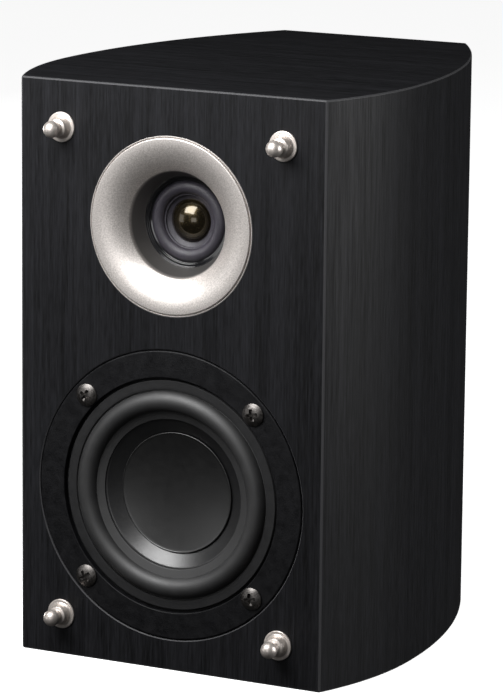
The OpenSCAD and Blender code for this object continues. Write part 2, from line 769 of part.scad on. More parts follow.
front_baffle();
left_side_panel();
right_side_panel();
top_panel();
bottom_panel();
rear_panel();
grille_studs();
tweeter_waveguide();
tweeter_throat_ring();
tweeter_mount_plate();
tweeter_surround();
tweeter_diaphragm();
tweeter_dome();
tweeter_coil_former();
tweeter_voice_coil();
tweeter_top_plate();
tweeter_magnet();
tweeter_yoke();
tweeter_lugs();
tweeter_screws();
woofer_basket();
woofer_seal();
woofer_gasket_ring();
woofer_surround();
woofer_cone();
woofer_dust_cap();
woofer_coil_former();
woofer_voice_coil();
woofer_spider();
woofer_top_plate();
woofer_magnet();
woofer_yoke();
woofer_terminal_board();
woofer_lugs();
woofer_tinsel_leads();
woofer_screws();
port_tube();
terminal_cup();
terminal_cup_screws();
positive_post();
positive_post_base();
positive_clamp_washer();
positive_knob();
negative_post();
negative_post_base();
negative_clamp_washer();
negative_knob();
terminal_nuts();
crossover_board();
crossover_standoffs();
crossover_screws();
woofer_inductor();
tweeter_inductor();
crossover_capacitors();
crossover_resistor();
input_wires();
woofer_wires();
tweeter_wires();
damping_wadding();
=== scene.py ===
"""Looks of the two-way bookshelf speaker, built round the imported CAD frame.

Lengths are millimetres in the CAD's own frame until make() turns them into metres:
+Z is up, the front faces -Y and the origin is the centre of the footprint.
"""
import json
import math

import bmesh
import bpy
from mathutils import Matrix, Vector, noise


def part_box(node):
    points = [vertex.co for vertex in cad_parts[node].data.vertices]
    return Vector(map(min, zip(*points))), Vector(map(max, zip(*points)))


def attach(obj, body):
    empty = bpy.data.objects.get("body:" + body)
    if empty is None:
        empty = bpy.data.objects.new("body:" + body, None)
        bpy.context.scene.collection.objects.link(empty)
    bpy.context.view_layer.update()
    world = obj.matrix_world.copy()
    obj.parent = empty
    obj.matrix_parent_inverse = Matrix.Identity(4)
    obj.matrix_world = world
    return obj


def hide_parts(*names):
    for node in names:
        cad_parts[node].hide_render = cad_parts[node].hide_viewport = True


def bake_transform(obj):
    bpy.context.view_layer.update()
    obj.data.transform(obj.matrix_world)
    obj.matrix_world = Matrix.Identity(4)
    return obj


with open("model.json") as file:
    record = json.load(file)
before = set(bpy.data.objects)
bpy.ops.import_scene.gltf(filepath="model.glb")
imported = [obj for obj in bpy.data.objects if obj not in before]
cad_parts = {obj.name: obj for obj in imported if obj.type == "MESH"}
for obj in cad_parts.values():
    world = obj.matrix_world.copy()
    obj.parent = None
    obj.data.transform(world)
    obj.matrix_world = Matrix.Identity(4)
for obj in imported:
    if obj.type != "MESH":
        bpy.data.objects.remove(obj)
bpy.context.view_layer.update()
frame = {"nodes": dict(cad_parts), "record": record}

MM = 0.001
TAU = math.tau
SIDES = 192          # steps round a large turned part
FINE = 64            # steps round a small one


def low(node):
    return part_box(node)[0] / MM


def high(node):
    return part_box(node)[1] / MM


def behind(node):
    """How far in front of the rear plane a node starts, and how far behind it ends."""
    return low(node).y - REAR, high(node).y - REAR


def middle(node):
    return (low(node) + high(node)) / 2


def outer_r(node):
    return (high(node).x - low(node).x) / 2


# ---------- sizes and places ----------

FRONT = low("front_baffle").y
REAR = high("rear_panel").y
HEIGHT = high("front_baffle").z
DEPTH = REAR - FRONT
BAFFLE = high("front_baffle").y - FRONT
PANEL = high("bottom_panel").z
WAIST = 2 * high("right_side_panel").x
WAIST_DEPTH = 52     # of the widest point, behind the front
FRONT_WIDTH = 125
REAR_WIDTH = 80

BULGE = (WAIST - FRONT_WIDTH) / 2
FRONT_ARC = (WAIST_DEPTH ** 2 + BULGE ** 2) / (2 * BULGE)
TAPER = (WAIST - REAR_WIDTH) / 2
REAR_ARC = ((DEPTH - WAIST_DEPTH) ** 2 + TAPER ** 2) / (2 * TAPER)
CORNER_R = 1.1       # vertical corners
EDGE_R = 0.9         # edges of the top and the bottom
GLUE = 0.05          # gap round a glued or threaded piece
BLIND = 0.5          # how much deeper a blind hole is than what it takes
FIT_GAP = 0.35       # round the edge of a driver in its recess
OVERCUT = 5          # how far a cutter runs on past what it cuts

WOOFER_Z = middle("woofer_gasket_ring").z
TWEETER_Z = middle("tweeter_waveguide").z
PORT_Z = middle("port_tube").z
CUP_Z = middle("terminal_cup").z
POST_X = middle("negative_post").x
STUD_FLANGE = 5.6    # radius
STUD_SHANK_R = 2
STUD_SHANK = 10      # length
STUD_X = high("grille_studs").x - STUD_FLANGE
STUD_LOW = low("grille_studs").z + STUD_FLANGE
STUD_HIGH = high("grille_studs").z - STUD_FLANGE
STUD_LENGTH = FRONT - low("grille_studs").y

FLANGE_R = outer_r("woofer_basket")
FLANGE_T = 3
SEAL_T = 0.8
WELL_R = FLANGE_R - 10.1
SEAT_R = FLANGE_R - 15.5
HOLE_R = FLANGE_R - 7.4
SCREW_CIRCLE = FLANGE_R - 5.6
SCREW_R = 1.7
SCREW_LENGTH = 13
SEAT = -2.3          # level of the surround's seat, from the front plane
ROLL_R = 35.3        # middle of the surround's roll
ROLL_HALF = 3.9
ROLL_T = 0.7
CONE_EDGE = 28.3
CONE_RIM = -3.2
CONE_NECK = -11.7
NECK_R = 12.85

GUIDE_R = outer_r("tweeter_waveguide")
THROAT_R = 17
CREASE = 2.9         # from the throat's edge to the line where the flare turns steep
CREASE_LEVEL = -4.8
FLARE = 12           # depth of the waveguide
DOME_PLANE = -14.4
DOME_ROLL_R = 12.75
DOME_ROLL_HALF = 2.55
DOME_R = 8.15
DOME_EDGE = DOME_PLANE - 1.7

PORT_R = 14
PORT_WALL = 2
PORT_RIM_T = 2.4
PORT_END, _ = behind("port_tube")
CUP_W, CUP_H = 62, 56
CUP_WELL_W, CUP_WELL_H = 46, 38
CUP_DEPTH = 17
CUP_WALL = 2
CUP_BODY_R = 7       # corners of the body behind the flange
_, CUP_PROUD = behind("terminal_cup")
CUP_SCREW_IN = 4     # of the cup's screws, from its edges
CUP_SCREW_SINK = 1.2
POST_R = 3
SOCKET_R = 2.05


# ---------- mesh tools ----------

def at_front(x, z, turn=0.0):
    """A place on the front plane: its +Z points out at the listener and its +Y up."""
    out = Matrix.Rotation(TAU / 4, 4, "X") @ Matrix.Rotation(turn, 4, "Z")
    return Matrix.Translation((x, FRONT, z)) @ out


def at_rear(x, z):
    """A place on the rear plane: its +Z points out behind and its -Y up."""
    return Matrix.Translation((x, REAR, z)) @ Matrix.Rotation(-TAU / 4, 4, "X")


def polar(r, turn, level):
    return Vector((r * math.cos(turn), r * math.sin(turn), level))


def circle(r, level, sides=SIDES):
    return [polar(r, TAU * k / sides, level) for k in range(sides)]


def arc(cx, cy, r, start, end, steps=24):
    """Points along an arc between two angles in degrees, as corners with no fillet."""
    turns = [math.radians(start + (end - start) * k / steps) for k in range(steps + 1)]
    return [(cx + r * math.cos(t), cy + r * math.sin(t), 0) for t in turns]


def fillet(corners, steps=4):
    """A closed outline of (x, y, radius) corners, each of them turned into an arc."""
    outline = []
    for i, (x, y, r) in enumerate(corners):
        if r <= 0:
            outline.append((x, y))
            continue
        here = Vector((x, y))
        back = Vector(corners[i - 1][:2]) - here
        on = Vector(corners[(i + 1) % len(corners)][:2]) - here
        half = back.angle(on) / 2
        reach = min(r / math.tan(half), 0.48 * back.length, 0.48 * on.length)
        r = reach * math.tan(half)
        centre = here + (back.normalized() + on.normalized()).normalized() * r / math.sin(half)
        first = here + back.normalized() * reach - centre
        last = here + on.normalized() * reach - centre
        start = math.atan2(first.y, first.x)
        sweep = (math.atan2(last.y, last.x) - start + math.pi) % TAU - math.pi
        for k in range(steps + 1):
            turn = start + sweep * k / steps
            outline.append((centre.x + r * math.cos(turn), centre.y + r * math.sin(turn)))
    return outline


def loft(rows, place=Matrix(), ring=False, caps=True):
    """Skins rows of points, all of one length. A ring joins the last row to the first."""
    count = len(rows[0])
    verts = [place @ point for row in rows for point in row]
    faces = []
    for i in range(len(rows) if ring else len(rows) - 1):
        a = i * count
        b = (i + 1) % len(rows) * count
        faces += [(a + k, a + (k + 1) % count, b + (k + 1) % count, b + k) for k in range(count)]
    if caps and not ring:
        faces.append(tuple(range(count)))
        faces.append(tuple(range(len(verts) - count, len(verts))))
    return verts, faces


def lathe(outline, place=Matrix(), sides=SIDES):
    """Turns a closed outline of (radius, level) points about the place's +Z."""
    return loft([circle(max(r, 1e-4), level, sides) for r, level in outline], place, ring=True)


def make(name, parts, finish=None, body="speaker", replaces=(), sharp=35):
    """One object of one or more (points, faces) parts, in metres, riding on a body."""
    bm = bmesh.new()
    for verts, faces in parts:
        made = [bm.verts.new(v * MM) for v in verts]
        for face in faces:
            bm.faces.new([made[k] for k in face])
    bmesh.ops.remove_doubles(bm, verts=bm.verts, dist=1e-6)
    bmesh.ops.dissolve_degenerate(bm, edges=bm.edges, dist=1e-7)
    bmesh.ops.recalc_face_normals(bm, faces=bm.faces)
    mesh = bpy.data.meshes.new(name)
    bm.to_mesh(mesh)
    bm.free()
    obj = bpy.data.objects.new(name, mesh)
    bpy.context.scene.collection.objects.link(obj)
    if finish:
        dress(obj, finish, body, replaces, sharp)
    return obj


def dress(obj, finish, body, replaces, sharp=35):
    """Smooths a finished mesh, gives it its finish and its body, and hides the CAD nodes it stands for."""
    obj.data.materials.clear()
    obj.data.materials.append(FINISHES[finish])
    obj.data.shade_smooth()
    obj.data.set_sharp_from_angle(angle=math.radians(sharp))
    even = obj.modifiers.new("even", "WEIGHTED_NORMAL")
    even.keep_sharp = True
    even.weight = 100
    if body:
        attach(obj, body)
    if replaces:
        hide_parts(*replaces)


def carve(obj, cutters, operation="DIFFERENCE"):
    """Cuts each cutter out of obj for good, or joins it on, and deletes the cutters."""
    for cutter in cutters:
        cut = obj.modifiers.new("cut", "BOOLEAN")
        cut.object = cutter
        cut.operation = operation
        cut.solver = "EXACT"
    graph = bpy.context.evaluated_depsgraph_get()
    done = bpy.data.meshes.new_from_object(obj.evaluated_get(graph))
    obj.modifiers.clear()
    obj.data = done
    for cutter in cutters:
        bpy.data.objects.remove(cutter)


def rounded_rect(w, h, r, level, inset=0.0, steps=8):
    """A rectangle with round corners, drawn in by an inset, as one row of points."""
    w, h, r = w / 2 - inset, h / 2 - inset, max(r - inset, 0.05)
    row = []
    for sx, sy, start in ((1, 1, 0), (-1, 1, 90), (-1, -1, 180), (1, -1, 270)):
        for x, y, _ in arc(sx * (w - r), sy * (h - r), r, start, start + 90, steps):
            row.append(Vector((x, y, level)))
    return row


def soft_levels(bottom, top, r, steps=4):
    """(level, inset) pairs up a wall whose two edges are rounded by r."""
    turns = [TAU / 4 * k / steps for k in range(steps + 1)]
    rise = [(bottom + r * (1 - math.cos(t)), r * (1 - math.sin(t))) for t in turns]
    return rise + [(top + bottom - level, inset) for level, inset in reversed(rise)]


# ---------- finishes ----------

FINISHES = {}


class Finish:
    """A procedural material under construction: short calls that add and join nodes."""

    def __init__(self, name, metallic=0.0, roughness=0.5, coat=0.0, specular=0.5):
        self.material = bpy.data.materials.new(name)
        self.material.use_nodes = True
        self.tree = self.material.node_tree
        self.shader = self.tree.nodes["Principled BSDF"]
        self.shader.inputs["Metallic"].default_value = metallic
        self.shader.inputs["Roughness"].default_value = roughness
        self.shader.inputs["Coat Weight"].default_value = coat
        self.shader.inputs["Specular IOR Level"].default_value = specular
        self.where = self.tree.nodes.new("ShaderNodeTexCoord").outputs["Object"]
        FINISHES[name] = self.material

    def node(self, kind, inputs=(), **settings):
        made = self.tree.nodes.new("ShaderNode" + kind)
        for key, value in settings.items():
            setattr(made, key, value)
        for key, value in dict(inputs).items():
            if isinstance(value, bpy.types.NodeSocket):
                self.tree.links.new(value, made.inputs[key])
            else:
                made.inputs[key].default_value = value
        return made

    def stretched(self, scale):
        """The place on the piece, stretched by a scale for each axis."""
        return self.node("Mapping", {"Vector": self.where, "Scale": scale}).outputs["Vector"]

    def noise(self, scale, where=None, detail=3.0, roughness=0.55):
        """Fractal noise from 0 to 1, with a scale in ripples a metre."""
        found = self.node("TexNoise", {"Vector": where or self.where, "Scale": scale, "Detail": detail,
                                       "Roughness": roughness})
        return found.outputs["Fac"]

    def spread(self, value, low_in, high_in, low_out, high_out):
        """A value's range stretched over another one, and held at its ends."""
        found = self.node("MapRange", {"Value": value, "From Min": low_in, "From Max": high_in,
                                       "To Min": low_out, "To Max": high_out})
        return found.outputs["Result"]

    def math(self, operation, a, b=0.0):
        found = self.node("Math", operation=operation)
        for socket, value in zip(found.inputs, (a, b)):
            if isinstance(value, bpy.types.NodeSocket):
                self.tree.links.new(value, socket)
            else:
                socket.default_value = value
        return found.outputs[0]

    def mix(self, factor, a, b):
        """One colour or the other, by a factor."""
        found = self.node("Mix", data_type="RGBA")
        for key, value in ((0, factor), (6, a), (7, b)):
            if isinstance(value, bpy.types.NodeSocket):
                self.tree.links.new(value, found.inputs[key])
            else:
                found.inputs[key].default_value = value if key == 0 else (*value, 1)
        return found.outputs[2]

    def colour(self, factor, a, b):
        self.tree.links.new(self.mix(factor, a, b), self.shader.inputs["Base Color"])

    def set(self, key, value):
        self.tree.links.new(value, self.shader.inputs[key])

    def bump(self, height, distance, strength=1.0):
        """Relief of that depth in metres."""
        found = self.node("Bump", {"Height": height, "Distance": distance, "Strength": strength})
        self.tree.links.new(found.outputs["Normal"], self.shader.inputs["Normal"])


def edge_highlight_mask(f, facing):
    """1 on the rounded edges, where a paler colour is painted on as a highlight, 0 on the flat faces."""
    x, z = [f.math("ABSOLUTE", facing.outputs[axis]) for axis in "XZ"]
    ahead = f.math("MULTIPLY", facing.outputs["Y"], -1.0)
    level = f.math("MULTIPLY", f.spread(z, 0.12, 0.3, 0, 1), f.spread(z, 0.96, 0.85, 0, 1))
    upright = f.math("MULTIPLY", f.spread(x, 0.1, 0.25, 0, 1), f.spread(ahead, 0.47, 0.55, 0, 1))
    return f.math("MAXIMUM", level, upright)


def wood_vinyl():
    """Black ash film: fine streaks up the walls, and across the top and the bottom, with a painted highlight
    along the rounded edges.
    """
    f = Finish("black_ash_vinyl", roughness=0.5, specular=0.2)
    facing = f.node("SeparateXYZ", {"Vector": f.tree.nodes["Texture Coordinate"].outputs["Normal"]})
    lies_flat = f.math("GREATER_THAN", f.math("ABSOLUTE", facing.outputs["Z"]), 0.7)

    def grain(scale, along):
        up = f.stretched((1, 1, along))
        across = f.stretched((along, 1, 1))
        way = f.node("Mix", data_type="VECTOR")
        f.tree.links.new(lies_flat, way.inputs[0])
        f.tree.links.new(up, way.inputs[4])
        f.tree.links.new(across, way.inputs[5])
        return f.noise(scale, way.outputs[1], detail=2, roughness=0.6)

    figure = grain(170, 0.025)
    streaks = grain(1100, 0.025)
    fine = grain(2600, 0.05)
    tone = f.math("ADD", f.math("MULTIPLY", figure, 0.20), f.math("MULTIPLY", streaks, 0.40))
    tone = f.math("ADD", tone, f.math("MULTIPLY", fine, 0.40))
    film = f.mix(f.spread(tone, 0.38, 0.64, 0, 1), (0.0004, 0.0005, 0.0008), (0.0170, 0.0173, 0.0200))
    # Painted highlight: the rounded edges of the film are coloured paler, as if they caught the light.
    painted_edge_highlight = (0.055, 0.055, 0.058)
    f.colour(edge_highlight_mask(f, facing), film, painted_edge_highlight)
    f.set("Roughness", f.spread(streaks, 0.3, 0.7, 0.58, 0.42))
    f.bump(f.math("ADD", streaks, f.math("MULTIPLY", fine, 0.5)), 0.00005, 0.7)


def grainy(name, dark, pale, scale, roughness, metallic=0.0, relief=0.00002, coat=0.0, rough_swing=0.08,
           specular=0.5):
    """Moulded, cast, painted or rubbery stuff: a fine mottle in colour, gloss and relief."""
    f = Finish(name, metallic, roughness, coat, specular)
    fine = f.noise(scale)
    broad = f.noise(scale / 12, detail=2)
    tone = f.math("ADD", f.math("MULTIPLY", fine, 0.6), f.math("MULTIPLY", broad, 0.4))
    f.colour(f.spread(tone, 0.35, 0.65, 0, 1), dark, pale)
    f.set("Roughness", f.spread(tone, 0.35, 0.65, roughness - rough_swing, roughness + rough_swing))
    f.bump(fine, relief)


def guide_metal():
    """Pale champagne metal, with painted shade down the steep throat, coloured dark as if shadowed."""
    f = Finish("champagne_satin", metallic=0.8, roughness=0.47)
    fine = f.noise(2300, detail=4)
    metal = f.mix(f.spread(fine, 0.36, 0.64, 0, 1), (0.54, 0.502, 0.475), (0.80, 0.752, 0.72))
    axis = (0, 0, TWEETER_Z * MM)
    flattened = f.stretched((1, 0, 1))
    from_axis = f.node("VectorMath", {0: flattened, 1: axis}, operation="DISTANCE").outputs["Value"]
    edge = (THROAT_R + CREASE) * MM
    # Painted shade: the steep throat wall is given a dark colour, as if it lay in shadow.
    throat_shade_mask = f.spread(from_axis, edge + 0.2 * MM, edge - 0.6 * MM, 0, 1)
    throat_painted_shade = (0.13, 0.125, 0.122)
    f.colour(throat_shade_mask, metal, throat_painted_shade)
    f.bump(fine, 0.00001, 0.7)


def banded(name, dark, pale, direction, pitch, roughness, metallic=0.0, relief=0.00005):
    """Wound or corrugated stuff, with ridges a pitch apart along one axis."""
    f = Finish(name, metallic, roughness)
    waves = {"Vector": f.where, "Scale": TAU / 20 / pitch, "Distortion": 0.6, "Detail": 1, "Detail Scale": 2}
    ridge = f.node("TexWave", waves, wave_type="BANDS", bands_direction=direction).outputs["Fac"]
    mottle = f.noise(900)
    f.colour(f.math("MULTIPLY", ridge, f.spread(mottle, 0.3, 0.7, 0.7, 1)), dark, pale)
    f.set("Roughness", f.spread(mottle, 0.3, 0.7, roughness - 0.06, roughness + 0.06))
    f.bump(ridge, relief)


def woven(name, dark, pale, pitch, roughness, relief=0.00005):
    """Coated cloth: two sets of threads at right angles across the front."""
    f = Finish(name, roughness=roughness)
    turned = f.node("Mapping", {"Vector": f.where, "Rotation": (0, TAU / 8, 0)}).outputs["Vector"]
    threads = {"Vector": turned, "Scale": TAU / 20 / pitch}
    warp = f.node("TexWave", threads, bands_direction="X").outputs["Fac"]
    weft = f.node("TexWave", threads, bands_direction="Z").outputs["Fac"]
    thread = f.math("MAXIMUM", warp, weft)
    f.colour(f.math("MULTIPLY", thread, f.spread(f.noise(400), 0.3, 0.7, 0.6, 1)), dark, pale)
    f.set("Roughness", f.spread(thread, 0, 1, roughness + 0.1, roughness - 0.05))
    f.bump(thread, relief)


def make_finishes():
    wood_vinyl()
    grainy("stud_nickel", (0.72, 0.66, 0.61), (0.82, 0.75, 0.70), 2500, 0.40, metallic=0.78, relief=0.000004,
           rough_swing=0.03)
    guide_metal()
    grainy("gloss_black", (0.006, 0.006, 0.007), (0.012, 0.012, 0.013), 900, 0.12, relief=0.000002, coat=1.0,
           rough_swing=0.03)
    woven("woven_grey", (0.012, 0.011, 0.015), (0.055, 0.050, 0.064), 0.00034, 0.36)
    grainy("dome_gold", (0.035, 0.028, 0.017), (0.075, 0.056, 0.027), 1500, 0.22, metallic=0.9,
           relief=0.00001, coat=0.8)
    grainy("plate_plastic", (0.014, 0.014, 0.015), (0.028, 0.028, 0.03), 1600, 0.5)
    grainy("textured_black", (0.0010, 0.0010, 0.0015), (0.0080, 0.0081, 0.0093), 3600, 0.50, relief=0.00008,
           specular=0.22)
    grainy("surround_rubber", (0.006, 0.006, 0.0065), (0.013, 0.013, 0.0135), 2600, 0.58, relief=0.000012,
           rough_swing=0.04, specular=1.0)
    grainy("cone_black", (0.006, 0.006, 0.0065), (0.010, 0.010, 0.0105), 1800, 0.36, relief=0.000008,
           rough_swing=0.03, specular=1.0)
    grainy("cap_black", (0.003, 0.003, 0.0032), (0.006, 0.006, 0.006), 3800, 0.40, relief=0.000014,
           rough_swing=0.03, specular=1.0)
    grainy("seal_foam", (0.004, 0.004, 0.0045), (0.014, 0.014, 0.015), 5000, 0.7, relief=0.0001,
           specular=0.4)
    grainy("former_film", (0.5, 0.42, 0.25), (0.66, 0.58, 0.4), 800, 0.35)
    banded("copper", (0.35, 0.12, 0.04), (0.78, 0.36, 0.16), "Y", 0.0006, 0.3, metallic=1)
    grainy("zinc_steel", (0.45, 0.46, 0.48), (0.66, 0.66, 0.66), 500, 0.34, metallic=1)
    grainy("ferrite", (0.03, 0.03, 0.032), (0.08, 0.08, 0.085), 1500, 0.7)
    woven("spider_cloth", (0.3, 0.18, 0.05), (0.62, 0.44, 0.18), 0.0006, 0.7)
    grainy("lug_brass", (0.55, 0.42, 0.16), (0.75, 0.6, 0.28), 900, 0.3, metallic=1)
    grainy("dark_nickel", (0.07, 0.066, 0.062), (0.20, 0.187, 0.18), 1600, 0.42, metallic=1, relief=0.000012)
    grainy("port_black", (0.008, 0.008, 0.009), (0.018, 0.018, 0.019), 2200, 0.42, relief=0.00003)
    grainy("cup_black", (0.010, 0.010, 0.011), (0.022, 0.022, 0.024), 3200, 0.46, relief=0.00004)
    grainy("gold_plate", (0.70, 0.50, 0.17), (0.92, 0.70, 0.30), 1200, 0.2, metallic=1, relief=0.000004)
    grainy("knob_red", (0.32, 0.006, 0.006), (0.46, 0.012, 0.012), 1200, 0.28, coat=0.3, relief=0.00001)
    grainy("knob_black", (0.010, 0.010, 0.010), (0.022, 0.022, 0.022), 1200, 0.3, coat=0.3, relief=0.00001)
    grainy("board_fibre", (0.30, 0.19, 0.07), (0.46, 0.32, 0.14), 700, 0.6)
    grainy("nylon", (0.6, 0.59, 0.54), (0.8, 0.79, 0.74), 700, 0.45)
    grainy("capacitor_film", (0.01, 0.012, 0.07), (0.03, 0.035, 0.13), 900, 0.35)
    grainy("resistor_cement", (0.55, 0.53, 0.48), (0.75, 0.73, 0.68), 1600, 0.8, relief=0.0001)
    grainy("wire_jacket", (0.02, 0.02, 0.02), (0.05, 0.05, 0.05), 900, 0.45)
    grainy("wadding", (0.55, 0.55, 0.52), (0.9, 0.9, 0.87), 350, 0.95, relief=0.001)


# ---------- cabinet ----------

def half_width(depth, inset=0.0):
    """Half of the cabinet's width at a depth, or of its inside where the walls have a thickness."""
    r = FRONT_ARC if depth < WAIST_DEPTH else REAR_ARC
    return WAIST / 2 - r + math.sqrt((r - inset) ** 2 - (depth - WAIST_DEPTH) ** 2)


def plan_outline():
    """The cabinet seen from above, as (x, depth) points with softened corners."""
    steps = 72
    right = [(half_width(DEPTH * k / steps), DEPTH * k / steps) for k in range(steps + 1)]
    walls = right + [(-x, depth) for x, depth in reversed(right)]
    return fillet([(x, depth, CORNER_R if depth in (0, DEPTH) else 0) for x, depth in walls])


def drawn_in(outline, inset):
    """The outline moved inwards, square to itself."""
    moved = []
    for i, point in enumerate(outline):
        along = Vector(outline[(i + 1) % len(outline)]) - Vector(outline[i - 1])
        inwards = Vector((-along.y, along.x)).normalized()
        moved.append(Vector(point) + inwards * inset)
    return moved


def cabinet_block(name):
    """The whole cabinet as one solid block with soft edges."""
    outline = plan_outline()
    rows = []
    for level, inset in soft_levels(0, HEIGHT, EDGE_R):
        rows.append([Vector((p.x, FRONT + p.y, level)) for p in drawn_in(outline, inset)])
    return make(name, [loft(rows)])


def keep_between(obj, axis, start, end):
    """Keeps the slab of a block between two places along an axis, and closes the cuts."""
    bm = bmesh.new()
    bm.from_mesh(obj.data)
    for place, way in ((start, -1), (end, 1)):
        if place is None:
            continue
        normal = Vector((0, 0, 0))
        normal[axis] = way
        spot = Vector((0, 0, 0))
        spot[axis] = place * MM
        everything = bm.verts[:] + bm.edges[:] + bm.faces[:]
        cut = bmesh.ops.bisect_plane(bm, geom=everything, dist=1e-7, plane_co=spot, plane_no=normal,
                                     clear_outer=True)
        rim = [e for e in cut["geom_cut"] if isinstance(e, bmesh.types.BMEdge)]
        bmesh.ops.edgeloop_fill(bm, edges=rim)
    bmesh.ops.recalc_face_normals(bm, faces=bm.faces)
    bm.to_mesh(obj.data)
    bm.free()
    return obj


def box_cutter(x0, x1, y0, y1, z0, z1, place=Matrix()):
    rows = [[Vector(p) for p in ((x0, y0, z), (x1, y0, z), (x1, y1, z), (x0, y1, z))] for z in (z0, z1)]
    return make("cutter", [loft(rows, place)])


def hole_cutter(r, place, bottom, top=OVERCUT, sides=FINE):
    return make("cutter", [loft([circle(r, bottom, sides), circle(r, top, sides)], place)])


def stepped_hole(hole_r, seat, rim_r, chamfer):
    """The outline of a hole through the baffle, with a wider chamfered recess in front of it."""
    back = -BAFFLE - OVERCUT
    wide = rim_r + chamfer
    return [(0, back), (hole_r, back), (hole_r, seat), (rim_r, seat), (rim_r, -chamfer), (wide, 0),
            (wide, OVERCUT), (0, OVERCUT)]


def stud_places():
    return [at_front(x, z) for x in (-STUD_X, STUD_X) for z in (STUD_LOW, STUD_HIGH)]


def woofer_screw_places():
    spots = []
    for k, turn in enumerate((12, -28, 35, 8)):
        a = TAU / 8 + k * TAU / 4
        x = SCREW_CIRCLE * math.cos(a)
        z = WOOFER_Z + SCREW_CIRCLE * math.sin(a)
        spots.append(at_front(x, z, math.radians(turn)))
    return spots


def baffle():
    """The front board, with a stepped hole for each driver and blind holes for studs and screws."""
    block = keep_between(cabinet_block("baffle"), 1, None, FRONT + BAFFLE)
    woofer_hole = stepped_hole(HOLE_R, -FLANGE_T - SEAL_T, FLANGE_R + FIT_GAP, 0.35)
    tweeter_hole = stepped_hole(GUIDE_R - 3.2, -3, GUIDE_R + FIT_GAP, 0.2)
    cutters = [make("cutter", [lathe(woofer_hole, at_front(0, WOOFER_Z))]),
               make("cutter", [lathe(tweeter_hole, at_front(0, TWEETER_Z))])]
    cutters += [hole_cutter(STUD_SHANK_R + GLUE, place, -STUD_SHANK - BLIND) for place in stud_places()]
    cutters += [hole_cutter(SCREW_R + GLUE, place, -SCREW_LENGTH - BLIND) for place in woofer_screw_places()]
    carve(block, cutters)
    dress(block, "black_ash_vinyl", "speaker", ["front_baffle"])


def side_panels():
    """The two curved walls, each hollowed by a cutter with the inside's own curve."""
    steps = 60
    overlap = 2
    start = BAFFLE - overlap
    reach = DEPTH - PANEL + overlap - start
    depths = [start + reach * k / steps for k in range(steps + 1)]
    for name, side in (("left_side", -1), ("right_side", 1)):
        block = keep_between(cabinet_block(name), 1, FRONT + BAFFLE, REAR - PANEL)
        keep_between(block, 2, PANEL, HEIGHT - PANEL)
        keep_between(block, 0, *((0, None) if side > 0 else (None, 0)))
        inside = [(side * half_width(d, PANEL), FRONT + d) for d in depths]
        inside += [(-side * OVERCUT, inside[-1][1]), (-side * OVERCUT, inside[0][1])]
        rows = [[Vector((x, y, z)) for x, y in inside] for z in (0, HEIGHT)]
        carve(block, [make("cutter", [loft(rows)])])
        dress(block, "black_ash_vinyl", "speaker", [name + "_panel"])


def top_and_bottom():
    for name, start, end in (("top", HEIGHT - PANEL, None), ("bottom", None, PANEL)):
        block = keep_between(cabinet_block(name), 1, FRONT + BAFFLE, None)
        keep_between(block, 2, start, end)
        dress(block, "black_ash_vinyl", "speaker", [name + "_panel"])


def rear_panel():
    block = keep_between(cabinet_block("rear"), 1, REAR - PANEL, None)
    keep_between(block, 2, PANEL, HEIGHT - PANEL)
    back = -PANEL - OVERCUT
    tube = PORT_R + PORT_WALL + GLUE
    mouth = outer_r("port_tube") + 0.3
    seat = -PORT_RIM_T - 0.1
    port_hole = [(0, back), (tube, back), (tube, seat), (mouth, seat), (mouth, OVERCUT), (0, OVERCUT)]
    wider = 2 * (CUP_WALL + 0.3)
    opening = [rounded_rect(CUP_WELL_W + wider, CUP_WELL_H + wider, CUP_BODY_R, z) for z in (back, OVERCUT)]
    cutters = [make("cutter", [lathe(port_hole, at_rear(0, PORT_Z))]),
               make("cutter", [loft(opening, at_rear(0, CUP_Z))])]
    carve(block, cutters)
    dress(block, "black_ash_vinyl", "speaker", ["rear_panel"])


# ---------- studs and screws ----------

def grille_studs():
    """Four turned studs with a flange, a tapered boss, a neck and a ball tip."""
    ball = 3.1
    tip = STUD_LENGTH - ball
    flange_t = 0.7
    boss_r, boss = 3.95, 1.2
    boss_top_r, boss_top = 3.35, 3.6
    neck_r, neck = 2.2, 4.5
    corners = [(0, -STUD_SHANK, 0), (STUD_SHANK_R, -STUD_SHANK, 0.3), (STUD_SHANK_R, 0, 0),
               (STUD_FLANGE, 0, 0.1), (STUD_FLANGE, flange_t, 0.3), (boss_r + 0.45, flange_t + 0.05, 0.3),
               (boss_r, boss, 0.4), (boss_top_r, boss_top, 0.35), (neck_r + 0.1, boss_top + 0.35, 0.25),
               (neck_r, neck, 0.3), (ball - 0.25, tip - 1.4, 0.3)]
    outline = fillet(corners + arc(0, tip, ball, -24, 90, 28))
    make("studs", [lathe(outline, place, FINE) for place in stud_places()], "stud_nickel",
         replaces=["grille_studs"])


def plus_row(length, width, level):
    """The outline of a cross recess."""
    a, b = length / 2, width / 2
    quarter = [(a, -b), (a, b), (b, b)]
    row = []
    for k in range(4):
        spin = Matrix.Rotation(TAU / 4 * k, 3, "Z")
        row += [spin @ Vector((x, y, level)) for x, y in quarter]
    return row


